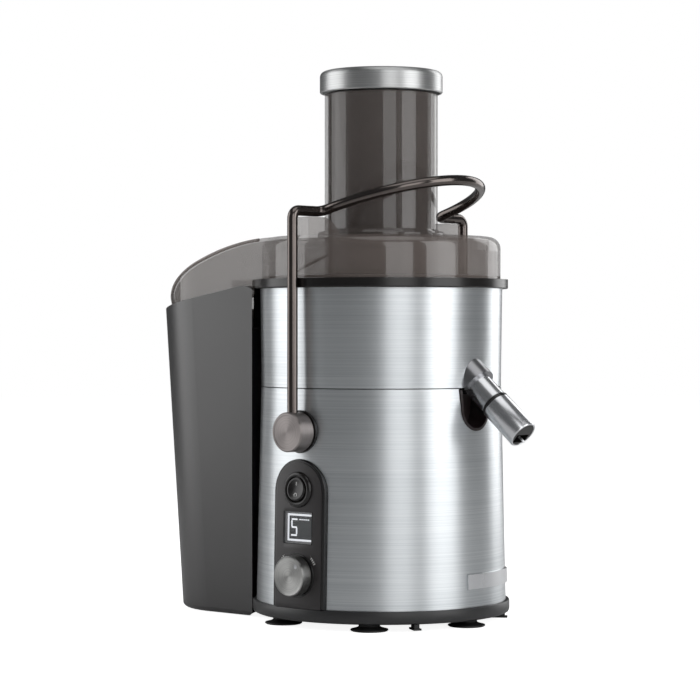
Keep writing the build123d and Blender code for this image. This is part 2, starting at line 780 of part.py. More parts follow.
# === Lid and chute ======================================================================
def hood_solid(shrink):
    """Hood over the pulp outlet, with its top and sides moved inwards by shrink."""
    half = hood_w - shrink
    top = lid_top - shrink
    radius = hood_arc_r - shrink
    back = hood_back_y
    middle = (back + hood_arc_y) / 2
    centre_z = top - radius
    back_z = centre_z + sqrt(radius ** 2 - (back - hood_arc_y) ** 2)
    middle_z = centre_z + sqrt(radius ** 2 - (middle - hood_arc_y) ** 2)
    front, low = hood_front, skirt_drop
    if shrink:
        front, low = hood_front - 6, skirt_drop + 20
    with BuildPart() as hood:
        with BuildSketch(Plane.YZ.offset(-half)):
            with BuildLine():
                Polyline((back, back_z), (back, bin_rim(back) - low),
                         (front, bin_rim(front) - low), (front, lid_z), (0, lid_z),
                         (0, top), (hood_arc_y, top))
                ThreePointArc((hood_arc_y, top), (middle, middle_z), (back, back_z))
            make_face()
        extrude(amount=2 * half)
        with BuildSketch(Plane.XY):
            with Locations((0, hood_end / 2)):
                Rectangle(2 * half, hood_end)
            with Locations((0, hood_end)):
                Circle(half)
        extrude(amount=cut_length, mode=Mode.INTERSECT)
    return hood.part


def make_lid():
    """Smoked lid: round cover, hood over the bin and two rests for the arm."""
    hood, hollow = hood_solid(0), hood_solid(lid_wall)
    rests_low = lid_top - 12
    rests_top = arm_top_z - arm_r - 0.5
    foot_x = chute_r + chute_flange + 6
    with BuildPart() as lid:
        tube(lid_r, 0, lid_z, lid_top)
        fillet(lid.faces().sort_by(Axis.Z)[-1].edges(), lid_shoulder)
        add(hood)
        for side in (-1, 1):
            with BuildSketch(Plane.XZ.offset(-fin_t / 2)):
                with BuildLine():
                    Polyline((side * (arm_neck_x + 3), rests_top),
                             (side * (lid_r - 1.5), rests_top),
                             (side * (lid_r - 1.5), rests_low), (side * foot_x, rests_low),
                             (side * foot_x, lid_top))
                    RadiusArc((side * foot_x, lid_top),
                              (side * (arm_neck_x + 3), rests_top), side * 26)
                make_face()
            extrude(amount=fin_t)
        tube(lid_r - lid_wall, 0, lid_z, lid_top - lid_wall - lid_shoulder, mode=Mode.SUBTRACT)
        tube(lid_r - lid_shoulder, 0, lid_z, lid_top - lid_wall, mode=Mode.SUBTRACT)
        add(hollow, mode=Mode.SUBTRACT)
        tube(chute_r, 0, lid_z, cut_length, mode=Mode.SUBTRACT)
    save(lid, "lid")


def make_feed_chute():
    """Tall feed chute, flanged on the lid and reaching down into the basket."""
    with BuildPart() as chute:
        tube(chute_r, 0, lid_top - chute_drop, chute_top)
        tube(chute_r + chute_flange, 0, lid_top, lid_top + 4.4)
        tube(chute_r - chute_wall, 0, 0, chute_top + 1, mode=Mode.SUBTRACT)
    save(chute, "feed_chute")


def make_pusher():
    """Hollow food pusher and its metal cap."""
    low = lid_top - chute_drop + 1.5
    with BuildPart() as pusher:
        tube(pusher_r, 0, low, cap_z)
        tube(pusher_r - 2.4, 0, low + 3, cap_z + 1, mode=Mode.SUBTRACT)
    save(pusher, "pusher")
    with BuildPart() as cap:
        tube(cap_r, 0, cap_z, cap_top)
        fillet(cap.faces().sort_by(Axis.Z)[-1].edges(), 5.0)
        tube(cap_r - 2, pusher_r + 1, cap_z - 1, cap_top - 6, mode=Mode.SUBTRACT)
        tube(pusher_r - 4, 0, cap_z - 1, cap_top - 3, mode=Mode.SUBTRACT)
    save(cap, "pusher_cap")


# === Pulp bin ===========================================================================
def bin_block(shrink, low):
    """Tapered block of the bin from height low upwards, its sides moved in by shrink."""
    with BuildPart() as body:
        for level in (low, cut_length):
            share = 1 - level / bin_rim_z
            half = bin_w - bin_taper * share - shrink
            end = bin_end - bin_lean * share
            with BuildSketch(Plane.XY.offset(level)):
                with Locations((0, end / 2)):
                    Rectangle(2 * half, end)
                with Locations((0, end)):
                    Circle(half)
        loft()
        bore = bin_bore + (bin_wall if shrink else 0)
        tube(bore, 0, 0, cut_length, mode=Mode.SUBTRACT)
    return body.part


def make_pulp_bin():
    """Pulp bin that wraps round the back of the machine, with a low saddle at the body."""
    solid = bin_block(0, bin_lift)
    hollow = bin_block(bin_wall, bin_lift + floor_t)
    far = bin_end + bin_w + 20
    with BuildPart() as bin_part:
        add(solid)
        fillet(bin_part.faces().sort_by(Axis.Z)[0].edges(), 4.0)
        add(hollow, mode=Mode.SUBTRACT)
        with BuildSketch(Plane.YZ.offset(-cut_length / 2)):
            with BuildLine():
                Polyline((bin_rim_y, bin_rim_z), (far, bin_rim(far)), (far, cut_length),
                         (0, cut_length), (0, bin_rim_z - 30),
                         (bin_rim_y - 24, bin_rim_z - 16))
                RadiusArc((bin_rim_y - 24, bin_rim_z - 16), (bin_rim_y, bin_rim_z), 26)
            make_face()
        extrude(amount=cut_length, mode=Mode.SUBTRACT)
        with BuildSketch(Plane.XY.offset(bin_saddle)):
            with Locations((0, bin_bore - 10)):
                Rectangle(2 * (hood_w + seat_gap), 60)
        extrude(amount=100, mode=Mode.SUBTRACT)
    save(bin_part, "pulp_bin")


# === Filter, drive and motor ============================================================
def make_filter():
    """Spinning basket: conical sieve, rim, cutting disc, hub and drive coupling."""
    slope = (basket_r1 - basket_r0) / (basket_top - basket_z)
    rows = 3
    pitch = (basket_top - basket_z - 10) / rows
    with BuildPart() as basket:
        turn([(7, basket_z), (basket_r0, basket_z), (basket_r1, basket_top - sheet),
              (basket_r1 + 4, basket_top - sheet), (basket_r1 + 4, basket_top),
              (basket_r1 - sheet, basket_top), (basket_r0 - sheet, disc_z), (7, disc_z)])
        for row in range(rows):
            level = 8 + row * pitch
            with BuildSketch(Plane.XY.offset(basket_z + level)):
                with PolarLocations(basket_r0 + slope * (level + pitch / 2), 30):
                    Rectangle(26, 1.6)
            extrude(amount=pitch - 5, mode=Mode.SUBTRACT)
    save(basket, "filter_basket")
    with BuildPart() as rim:
        turn([(basket_r1 - sheet, basket_top), (basket_rim_r, basket_top),
              (basket_rim_r, basket_top + 5), (basket_r1 + 2, basket_top + 6),
              (basket_r1 - sheet, basket_top + 3)])
    save(rim, "basket_rim")
    with BuildPart() as cutter:
        tube(basket_r0 - 2, 7, disc_z, disc_z + 1.2)
        for ring, count in ((basket_r0 - 9, 24), (basket_r0 - 18, 18), (basket_r0 - 27, 12)):
            with BuildSketch(Plane.XY.offset(disc_z + 1.2)):
                with PolarLocations(ring, count):
                    Rectangle(1.2, 3.4, rotation=25)
            extrude(amount=1.8)
    save(cutter, "cutting_disc")
    with BuildPart() as hub:
        tube(hub_r, 0, deck_top + boss_h + 1, basket_z)
        tube(hub_flange_r, 0, basket_z - 2.0, basket_z)
        tube(7, 0, basket_z, disc_z + 1.2)
        tube(6, 0, disc_z + 1.2, disc_z + 5)
        tube(coupling_r, 0, 0, coupling_top, mode=Mode.SUBTRACT)
    save(hub, "basket_hub")
    with BuildPart() as coupling:
        with BuildSketch(Plane.XY.offset(deck_top + 1)):
            Circle(coupling_r)
            with PolarLocations(coupling_r, 6):
                Circle(1.6, mode=Mode.SUBTRACT)
        extrude(amount=coupling_top - deck_top - 1)
        tube(shaft_r, 0, 0, coupling_top - 6, mode=Mode.SUBTRACT)
    save(coupling, "drive_coupling")


def make_rotor():
    """Motor shaft with armature, commutator and cooling fan."""
    with BuildPart() as shaft:
        tube(shaft_r, 0, motor_z0 + 2, coupling_top - 6)
    save(shaft, "motor_shaft")
    with BuildPart() as armature:
        tube(armature_r, shaft_r, core_z, core_z + core_len)
        with BuildSketch(Plane.XY.offset(core_z)):
            with PolarLocations(armature_r, 12):
                Rectangle(7, 2.4)
        extrude(amount=core_len, mode=Mode.SUBTRACT)
        tube(armature_r - 5, shaft_r, core_z - 6, core_z + core_len + 6)
    save(armature, "armature")
    with BuildPart() as commutator:
        tube(11, shaft_r, brush_z - 6, brush_z + 7)
    save(commutator, "commutator")
    fan_z = motor_z1 - 12.5
    with BuildPart() as fan:
        tube(9, shaft_r, fan_z, fan_z + 9.5)
        tube(can_r - 8, 9, fan_z, fan_z + 1.5)
        with BuildSketch(Plane.XY.offset(fan_z + 1.5)):
            with PolarLocations(can_r / 2, 9):
                Rectangle(can_r - 17, 1.6)
        extrude(amount=7)
    save(fan, "cooling_fan")


def make_motor():
    """Motor stator, can, end plates, bearings, brush gear and rubber mounts."""
    bore = armature_r + air_gap
    coil_r = can_r - 12
    with BuildPart() as stator:
        tube(can_r - can_wall, bore, core_z - 2, core_z + core_len + 2)
        with BuildSketch(Plane.XY.offset(core_z - 2)):
            with PolarLocations(coil_r, 2, start_angle=90):
                Rectangle(9, 34)
        extrude(amount=core_len + 4, mode=Mode.SUBTRACT)
    save(stator, "stator")
    with BuildPart() as coils:
        with BuildSketch(Plane.XY.offset(core_z - 6)):
            with PolarLocations(coil_r, 2, start_angle=90):
                Rectangle(8.6, 33)
        extrude(amount=core_len + 12)
    save(coils, "field_coils")
    with BuildPart() as can:
        tube(can_r, can_r - can_wall, motor_z0 + end_t, motor_z1)
        with BuildSketch(Plane.XY.offset(motor_z0 + end_t + 4)):
            with PolarLocations(can_r, 4, start_angle=45):
                Rectangle(12, 16)
        extrude(amount=12, mode=Mode.SUBTRACT)
        block(Plane.YZ, 10, 10, -can_r - 10, can_r + 10, at=(0, brush_z), mode=Mode.SUBTRACT)
    save(can, "motor_can")
    with BuildPart() as lower:
        tube(can_r, 0, motor_z0, motor_z0 + end_t)
        tube(15, 0, motor_z0 + end_t, motor_z0 + end_t + 9)
        tube(11, 0, motor_z0 + 2, motor_z0 + end_t + 10, mode=Mode.SUBTRACT)
    save(lower, "motor_end_lower")
    with BuildPart() as upper:
        tube(mount_plate_r, 0, motor_z1, motor_z1 + end_t)
        tube(17, 0, motor_z1 + end_t, motor_z1 + end_t + 9)
        tube(13, 0, motor_z1 + 2, motor_z1 + 20, mode=Mode.SUBTRACT)
        tube(shaft_r + 2, 0, motor_z1 - 1, motor_z1 + 5, mode=Mode.SUBTRACT)
        with BuildSketch(Plane.XY.offset(motor_z1)):
            with PolarLocations(mount_r, 4, start_angle=45):
                Circle(screw_r + 0.1)
        extrude(amount=end_t, mode=Mode.SUBTRACT)
    save(upper, "motor_end_upper")
    with BuildPart() as bearings:
        tube(11, shaft_r + run_gap, motor_z0 + 4, motor_z0 + end_t + 8)
        tube(13, shaft_r + run_gap, motor_z1 + 2, motor_z1 + end_t + 8)
    save(bearings, "bearings")
    with BuildPart() as holders:
        for side in (-1, 1):
            block(Plane.YZ, 10, 10, side * 32 - 16, side * 32 + 16, at=(0, brush_z))
        block(Plane.YZ, 7, 7, -60, 60, at=(0, brush_z), mode=Mode.SUBTRACT)
    save(holders, "brush_holders")
    with BuildPart() as brushes:
        for side in (-1, 1):
            block(Plane.YZ, 7, 7, side * 24 - 12.9, side * 24 + 12.9, at=(0, brush_z))
    save(brushes, "carbon_brushes")
    with BuildPart() as mounts:
        with BuildSketch(Plane.XY.offset(motor_z1 + end_t)):
            with PolarLocations(mount_r, 4, start_angle=45):
                Circle(6.5)
                Circle(screw_r + 0.1, mode=Mode.SUBTRACT)
        extrude(amount=bush_h)
    save(mounts, "motor_mounts")
    with BuildPart() as screws:
        with BuildSketch(Plane.XY.offset(motor_z1 - 3)):
            with PolarLocations(mount_r, 4, start_angle=45):
                Circle(screw_head_r)
        extrude(amount=3)
        with BuildSketch(Plane.XY.offset(motor_z1)):
            with PolarLocations(mount_r, 4, start_angle=45):
                Circle(screw_r)
        extrude(amount=end_t + bush_h + 12)
    save(screws, "motor_screws")


make_base_tray()
make_suction_feet()
make_cord_gland()
make_cord_cleats()
make_motor_skin()
make_chassis()
make_spout_recess()
make_badge_plate()
make_control_panel()
make_display()
make_control_board()
make_speed_control()
make_power_switch()
make_locking_arm()
make_arm_pivots()
make_interlock()
make_bowl_skin()
make_juice_bowl()
make_bowl_rim()
make_lid_seal()
make_spout()
make_lid()
make_feed_chute()
make_pusher()
make_pulp_bin()
make_filter()
make_rotor()
make_motor()
print("written", len(os.listdir("parts")), "parts")
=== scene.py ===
import math

import bmesh
import bpy
import numpy as np
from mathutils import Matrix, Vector


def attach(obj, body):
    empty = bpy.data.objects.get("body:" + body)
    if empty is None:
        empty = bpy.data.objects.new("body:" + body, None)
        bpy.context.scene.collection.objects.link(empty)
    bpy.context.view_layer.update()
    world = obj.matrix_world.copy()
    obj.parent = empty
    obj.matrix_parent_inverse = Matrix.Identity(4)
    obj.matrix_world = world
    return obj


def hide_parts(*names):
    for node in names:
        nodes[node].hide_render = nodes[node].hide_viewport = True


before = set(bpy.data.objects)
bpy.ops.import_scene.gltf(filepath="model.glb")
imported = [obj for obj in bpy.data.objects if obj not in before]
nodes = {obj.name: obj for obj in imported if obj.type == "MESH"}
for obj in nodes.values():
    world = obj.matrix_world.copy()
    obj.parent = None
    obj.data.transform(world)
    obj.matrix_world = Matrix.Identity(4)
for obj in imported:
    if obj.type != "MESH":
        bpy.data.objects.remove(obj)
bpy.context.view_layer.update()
print("frame loaded:", len(nodes), "nodes")

scene = bpy.context.scene
scene.view_settings.view_transform = "Standard"
mm = 0.001


# small tools

# sRGB hex to linear RGBA
def hexColor(code):
    parts = [int(code[i:i + 2], 16) / 255 for i in (1, 3, 5)]
    linear = [c / 12.92 if c <= 0.04045 else ((c + 0.055) / 1.055) ** 2.4 for c in parts]
    return (*linear, 1.0)


# one node, with its settings, its socket values and the links into it
def addNode(tree, kind, settings=None, values=None, links=None):
    node = tree.nodes.new(kind)
    for key, value in (settings or {}).items():
        setattr(node, key, value)
    for key, value in (values or {}).items():
        node.inputs[key].default_value = value
    for key, source in (links or {}).items():
        tree.links.new(source, node.inputs[key])
    return node


def newMaterial(name, **values):
    material = bpy.data.materials.new(name)
    material.use_nodes = True
    tree = material.node_tree
    shader = tree.nodes["Principled BSDF"]
    for key, value in values.items():
        shader.inputs[key.replace("_", " ")].default_value = value
    return material, tree, shader


# object coordinates stretched by a scale per axis, in cycles per metre
def stretched(tree, scale):
    where = addNode(tree, "ShaderNodeTexCoord")
    return addNode(tree, "ShaderNodeMapping", values={"Scale": scale},
                   links={"Vector": where.outputs["Object"]}).outputs["Vector"]


# colour ramp over hex values, driven by a 0 to 1 output
def colorRamp(tree, fac, stops):
    ramp = addNode(tree, "ShaderNodeValToRGB", links={"Fac": fac})
    band = ramp.color_ramp
    while len(band.elements) < len(stops):
        band.elements.new(0.5)
    for element, (place, code) in zip(band.elements, stops):
        element.position = place
        element.color = hexColor(code)
    return ramp.outputs["Color"]


# smooth mesh from points and faces, with creases kept where it folds past the sharp angle
def meshPiece(name, points, faces, sharp=None):
    mesh = bpy.data.meshes.new(name)
    mesh.from_pydata(points.tolist(), [], faces.tolist())
    mesh.validate()
    mesh.update()
    mesh.shade_smooth()
    piece = bpy.data.objects.new(name, mesh)
    scene.collection.objects.link(piece)
    if sharp:
        mesh.set_sharp_from_angle(angle=math.radians(sharp))
    return piece


# quads of a rows by columns grid, wrapped round in either direction
def gridFaces(rows, cols, wrapRows=False, wrapCols=False):
    r = np.arange(rows if wrapRows else rows - 1)
    c = np.arange(cols if wrapCols else cols - 1)
    r, c = np.meshgrid(r, c, indexing="ij")
    r2, c2 = (r + 1) % rows, (c + 1) % cols
    quads = np.stack([r * cols + c, r * cols + c2, r2 * cols + c2, r2 * cols + c], -1)
    return quads.reshape(-1, 4)


# axis frame: a point on the axis, the axis direction and two directions across it
def axisFrame(origin, direction, across):
    w = np.asarray(direction, float)
    w = w / np.linalg.norm(w)
    u = np.asarray(across, float)
    u = u - w * u.dot(w)
    u = u / np.linalg.norm(u)
    return np.asarray(origin, float), u, np.cross(w, u), w


upright = axisFrame((0, 0, 0), (0, 0, 1), (1, 0, 0))


# closed (radius, height) outline turned about an axis frame: point = origin
# + r cos(a) u + r sin(a) v + h w, with a from 0 to a full turn
def lathe(name, outline, place, turns):
    profile = np.asarray(outline, float)
    area = np.sum(profile[:, 0] * np.roll(profile[:, 1], -1)
                  - np.roll(profile[:, 0], -1) * profile[:, 1])
    if area < 0:
        profile = profile[::-1]
    origin, u, v, w = place
    a = np.linspace(0, 2 * np.pi, turns, endpoint=False)
    r = np.maximum(profile[:, 0], 0)[:, None, None]
    h = profile[:, 1][:, None, None]
    ring = np.cos(a)[None, :, None] * u + np.sin(a)[None, :, None] * v
    points = origin + r * ring + h * w
    faces = gridFaces(len(profile), turns, True, True)[:, ::-1]
    piece = meshPiece(name, points.reshape(-1, 3), faces, sharp=35)
    weld(piece)
    return piece


# merges doubles, drops empty faces and points every face outwards
def weld(piece, distance=1e-6):
    work = bmesh.new()
    work.from_mesh(piece.data)
    bmesh.ops.remove_doubles(work, verts=work.verts, dist=distance)
    bmesh.ops.dissolve_degenerate(work, edges=work.edges, dist=distance)
    bmesh.ops.recalc_face_normals(work, faces=work.faces)
    work.to_mesh(piece.data)
    work.free()
    piece.data.update()


# round bar along a path: circles of the given radius across the path's direction,
# carried along without twist, with a flat cap at each end
def sweepRound(name, path, radius, sides):
    path = np.asarray(path, float)
    step = np.gradient(path, axis=0)
    step /= np.linalg.norm(step, axis=1)[:, None]
    side = np.zeros_like(path)
    start = np.cross(step[0], (0.3, 0.2, 1.0))
    side[0] = start / np.linalg.norm(start)
    for i in range(1, len(path)):
        s = side[i - 1] - step[i] * side[i - 1].dot(step[i])
        side[i] = s / np.linalg.norm(s)
    up = np.cross(step, side)
    a = np.linspace(0, 2 * np.pi, sides, endpoint=False)
    ring = np.cos(a)[None, :, None] * side[:, None] + np.sin(a)[None, :, None] * up[:, None]
    points = (path[:, None] + radius * ring).reshape(-1, 3)
    piece = meshPiece(name, points, gridFaces(len(path), sides, False, True))
    work = bmesh.new()
    work.from_mesh(piece.data)
    bmesh.ops.holes_fill(work, edges=[e for e in work.edges if e.is_boundary], sides=0)
    bmesh.ops.recalc_face_normals(work, faces=work.faces)
    work.to_mesh(piece.data)
    work.free()
    piece.data.set_sharp_from_angle(angle=math.radians(50))
    return piece


# flat outline lifted off a plane: a closed slab from low to high along w
def slab(name, outline, place, low, high):
    origin, u, v, w = place
    o = np.asarray(outline, float)
    area = np.sum(o[:, 0] * np.roll(o[:, 1], -1) - np.roll(o[:, 0], -1) * o[:, 1])
    if area < 0:
        o = o[::-1]
    n = len(o)
    base = origin + o[:, :1] * u + o[:, 1:] * v
    points = np.concatenate([base + low * w, base + high * w])
    mesh = bpy.data.meshes.new(name)
    ring = np.arange(n)
    sides = np.stack([ring, (ring + 1) % n, (ring + 1) % n + n, ring + n], -1).tolist()
    caps = [ring[::-1].tolist(), (ring + n).tolist()]
    mesh.from_pydata(points.tolist(), [], sides + caps)
    mesh.update()
    piece = bpy.data.objects.new(name, mesh)
    scene.collection.objects.link(piece)
    return piece


# gives a piece its material and the body it rides on, and hides the nodes it stands in for
def dress(piece, material, body, slot, *replaced):
    piece.data.materials.clear()
    piece.data.materials.append(material)
    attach(piece, body)
    if replaced:
        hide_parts(*replaced)
    return piece


# points on an arc about (0, 0), between two angles in degrees
def arcPoints(radius, start, stop, steps):
    a = np.radians(np.linspace(start, stop, steps))
    return np.stack([radius * np.cos(a), radius * np.sin(a)], -1)


# camera, floor and lights

view = {"azimuth": -50.0, "distance": 1.927, "height": 0.2303, "lens": 125.5,
        "yaw": 0.7324, "pitch": -0.5633}
toCamera = Vector((math.sin(math.radians(view["azimuth"])),
                   -math.cos(math.radians(view["azimuth"])), 0))
camera = bpy.data.objects.new("camera", bpy.data.cameras.new("camera"))
camera.data.lens = view["lens"]
camera.data.sensor_width = 36
camera.data.clip_end = 50
camera.location = toCamera * view["distance"] + Vector((0, 0, view["height"]))
camera.rotation_euler = (math.radians(90 + view["pitch"]), 0,
                         math.radians(view["azimuth"] + view["yaw"]))
scene.collection.objects.link(camera)
scene.camera = camera

stage = {"radius": 6.0, "floor": "#f2f2f2", "glow": 0.9, "worldSeen": 1.0, "worldLight": 0.13}
# matt white paper; it glows to the eye as a light table does, but lights the machine little
floorMaterial, tree, shader = newMaterial("matt paper sweep", Roughness=0.9,
                                          Base_Color=hexColor(stage["floor"]))
path = addNode(tree, "ShaderNodeLightPath")
table = addNode(tree, "ShaderNodeEmission", values={"Strength": stage["glow"]})
both = addNode(tree, "ShaderNodeAddShader", links={0: shader.outputs[0], 1: table.outputs[0]})
seen = addNode(tree, "ShaderNodeMixShader", links={0: path.outputs["Is Camera Ray"],
                                                   1: shader.outputs[0], 2: both.outputs[0]})
tree.links.new(seen.outputs[0], tree.nodes["Material Output"].inputs["Surface"])
# flat disc, r from 0 to the radius
ringR = np.array([0.0, 0.3, 1.0, 2.5, stage["radius"]])
ringA = np.linspace(0, 2 * np.pi, 64, endpoint=False)
floorPoints = np.stack(np.broadcast_arrays(ringR[:, None] * np.cos(ringA),
                                           ringR[:, None] * np.sin(ringA), -0.0002), -1)
floor = meshPiece("floor", floorPoints.reshape(-1, 3), gridFaces(5, 64, False, True))
floor.data.materials.append(floorMaterial)

world = bpy.data.worlds.new("studio")
scene.world = world
world.use_nodes = True
tree = world.node_tree
tree.nodes.clear()
path = addNode(tree, "ShaderNodeLightPath")
seen = addNode(tree, "ShaderNodeBackground", values={"Color": (1, 1, 1, 1),
                                                     "Strength": stage["worldSeen"]})
glow = addNode(tree, "ShaderNodeBackground", values={"Color": hexColor("#eef0f2"),
                                                     "Strength": stage["worldLight"]})
mix = addNode(tree, "ShaderNodeMixShader",
              links={0: path.outputs["Is Camera Ray"], 1: glow.outputs[0], 2: seen.outputs[0]})
addNode(tree, "ShaderNodeOutputWorld", links={"Surface": mix.outputs[0]})


# soft box that faces the machine: turn is measured to the right of the camera
def softBox(name, turn, distance, height, width, tall, power, aimZ=0.2):
    a = math.radians(view["azimuth"] + turn)
    lamp = bpy.data.objects.new(name, bpy.data.lights.new(name, "AREA"))
    lamp.data.shape = "RECTANGLE"
    lamp.data.size = width
    lamp.data.size_y = tall
    lamp.data.energy = power
    lamp.location = (math.sin(a) * distance, -math.cos(a) * distance, height)
    aim = Vector((0, 0, aimZ)) - Vector(lamp.location)
    lamp.rotation_euler = aim.to_track_quat("-Z", "Y").to_euler()
    lamp.visible_camera = False
    scene.collection.objects.link(lamp)
    return lamp


# tall panels with dark room between them, so that round metal shows bands
softBox("keyRight", 58, 1.6, 0.5, 0.9, 1.8, 13)
softBox("keyFront", 17, 2.4, 0.9, 1.15, 1.7, 11.5)
softBox("fillLeft", -98, 1.5, 0.5, 1.2, 1.7, 12.0)
softBox("topSoft", 20, 0.5, 2.0, 1.4, 1.4, 7)
softBox("backRim", 135, 1.6, 0.6, 0.8, 1.5, 8)
print("camera, floor and lights placed")


# materials

# stainless steel sheet, brushed round the body: long fine level lines, soft wide glints
def brushedSteel(name, tint, roughness, lineMm, bumpMm):
    material, tree, shader = newMaterial(name, Metallic=1.0, Anisotropic=0.55,
                                         Anisotropic_Rotation=0.25)
    lines = addNode(tree, "ShaderNodeTexNoise", values={"Scale": 1.0, "Detail": 3.0},
                    links={"Vector": stretched(tree, (6, 6, 1000 / lineMm))}).outputs["Fac"]
    broad = addNode(tree, "ShaderNodeTexNoise", values={"Scale": 1.0, "Detail": 2.0},
                    links={"Vector": stretched(tree, (3, 3, 60))}).outputs["Fac"]
    mixed = addNode(tree, "ShaderNodeMath", {"operation": "MULTIPLY_ADD"}, {1: 0.75},
                    {0: lines, 2: addNode(tree, "ShaderNodeMath", {"operation": "MULTIPLY"},
                                          {1: 0.25}, {0: broad}).outputs[0]}).outputs[0]
    tree.links.new(colorRamp(tree, mixed, [(0.25, tint[0]), (0.75, tint[1])]),
                   shader.inputs["Base Color"])
    rough = addNode(tree, "ShaderNodeMapRange",
                    values={"To Min": roughness - 0.06, "To Max": roughness + 0.08},
                    links={"Value": lines}).outputs["Result"]
    tree.links.new(rough, shader.inputs["Roughness"])
    bump = addNode(tree, "ShaderNodeBump", values={"Strength": 0.25, "Distance": bumpMm * mm},
                   links={"Height": lines})
    tree.links.new(bump.outputs["Normal"], shader.inputs["Normal"])
    tangent = addNode(tree, "ShaderNodeTangent", {"direction_type": "RADIAL", "axis": "Z"})
    tree.links.new(tangent.outputs["Tangent"], shader.inputs["Tangent"])
    return material


# moulded plastic: faint spark-eroded grain and slight patchiness in the sheen
def mouldedPlastic(name, light, dark, roughness, grainMm, bumpMm, **values):
    material, tree, shader = newMaterial(name, **{"IOR": 1.49, **values})
    patch = addNode(tree, "ShaderNodeTexNoise", values={"Scale": 14.0, "Detail": 3.0},
                    links={"Vector": stretched(tree, (1, 1, 1))}).outputs["Fac"]
    grain = addNode(tree, "ShaderNodeTexNoise",
                    values={"Scale": 1000 / grainMm, "Detail": 2.0},
                    links={"Vector": stretched(tree, (1, 1, 1))}).outputs["Fac"]
    tree.links.new(colorRamp(tree, patch, [(0.3, dark), (0.7, light)]),
                   shader.inputs["Base Color"])
    rough = addNode(tree, "ShaderNodeMapRange",
                    values={"To Min": max(roughness - 0.04, 0.02), "To Max": roughness + 0.05},
                    links={"Value": patch}).outputs["Result"]
    tree.links.new(rough, shader.inputs["Roughness"])
    if bumpMm:
        bump = addNode(tree, "ShaderNodeBump",
                       values={"Strength": 0.3, "Distance": bumpMm * mm},
                       links={"Height": grain})
        tree.links.new(bump.outputs["Normal"], shader.inputs["Normal"])
    return material


# metal turned or spun about an axis: rings of fine grooves, centred by the mapping
def spunMetal(name, tint, roughness, grooveMm, centre, axis):
    material, tree, shader = newMaterial(name, Metallic=1.0, Anisotropic=0.7,
                                         Anisotropic_Rotation=0.25)
    where = addNode(tree, "ShaderNodeTexCoord").outputs["Object"]
    shift = addNode(tree, "ShaderNodeVectorMath", {"operation": "SUBTRACT"}, {1: centre},
                    {0: where}).outputs[0]
    along = addNode(tree, "ShaderNodeVectorMath", {"operation": "DOT_PRODUCT"}, {1: axis},
                    {0: shift}).outputs["Value"]
    flat = addNode(tree, "ShaderNodeVectorMath", {"operation": "SCALE"}, {0: axis},
                   {"Scale": along}).outputs[0]
    radial = addNode(tree, "ShaderNodeVectorMath", {"operation": "SUBTRACT"}, None,
                     {0: shift, 1: flat}).outputs[0]
    radius = addNode(tree, "ShaderNodeVectorMath", {"operation": "LENGTH"}, None,
                     {0: radial}).outputs["Value"]
    around = addNode(tree, "ShaderNodeVectorMath", {"operation": "CROSS_PRODUCT"}, {0: axis},
                     {1: radial}).outputs[0]
    tree.links.new(around, shader.inputs["Tangent"])
    level = addNode(tree, "ShaderNodeMath", {"operation": "ADD"}, None,
                    {0: radius, 1: along}).outputs[0]
    grooves = addNode(tree, "ShaderNodeTexNoise", {"noise_dimensions": "1D"},
                      {"Scale": 1000 / grooveMm, "Detail": 2.0}, {"W": level}).outputs["Fac"]
    tree.links.new(colorRamp(tree, grooves, [(0.3, tint[0]), (0.7, tint[1])]),
                   shader.inputs["Base Color"])
    rough = addNode(tree, "ShaderNodeMapRange",
                    values={"To Min": roughness - 0.05, "To Max": roughness + 0.07},
                    links={"Value": grooves}).outputs["Result"]
    tree.links.new(rough, shader.inputs["Roughness"])
    bump = addNode(tree, "ShaderNodeBump", values={"Strength": 0.25, "Distance": 0.03 * mm},
                   links={"Height": grooves})
    tree.links.new(bump.outputs["Normal"], shader.inputs["Normal"])
    return material


steelSkin = brushedSteel("brushed stainless steel", ("#bcc1c4", "#dde0e2"), 0.34, 0.6, 0.02)
capSteel = spunMetal("spun aluminium cap", ("#b4b5b5", "#cacbcb"), 0.42, 0.8, (0, 0, 0.4315),
                     (0, 0, 1))
darkChrome = mouldedPlastic("black chrome plate", "#6e6764", "#5f5956", 0.16, 3.0, 0.002,
                            Metallic=1.0)
blackAbs = mouldedPlastic("glossy black ABS", "#171514", "#121010", 0.24, 0.7, 0.003)
panelAbs = mouldedPlastic("satin anthracite ABS", "#2f2c2d", "#2a2728", 0.3, 0.6, 0.006)
borderAbs = mouldedPlastic("deep black ABS border", "#100f10", "#0a090a", 0.25, 0.8, 0.008)
baseAbs = mouldedPlastic("dark grey ABS base", "#2e2e2f", "#282829", 0.4, 0.6, 0.01)
binAbs = mouldedPlastic("satin charcoal ABS", "#201e1f", "#1b191a", 0.34, 0.5, 0.006,
                        Specular_IOR_Level=1.0)
footRubber = mouldedPlastic("black silicone rubber", "#1c1c1c", "#121212", 0.62, 0.8, 0.02)
paleNylon = mouldedPlastic("natural nylon", "#c9c6bd", "#bdbab0", 0.5, 0.7, 0.01)
smokedSan = mouldedPlastic("smoked SAN copolymer", "#7d736e", "#756b66", 0.06, 2.0, 0.0,
                           Alpha=0.5, Specular_IOR_Level=1.0)
smokedChute = mouldedPlastic("smoked SAN tube", "#6f6763", "#665e5a", 0.05, 2.0, 0.0,
                             Alpha=0.42, Specular_IOR_Level=1.0)
pusherAbs = mouldedPlastic("smoked grey ABS tube", "#1f1c1b", "#1a1817", 0.14, 1.2, 0.0,
                           Specular_IOR_Level=0.8)
turnedSteel = mouldedPlastic("turned steel", "#a9a9ab", "#97979a", 0.3, 0.8, 0.01,
                             Metallic=1.0)
copperWire = mouldedPlastic("enamelled copper", "#b8693a", "#a35a30", 0.35, 0.6, 0.05,
                            Metallic=1.0)
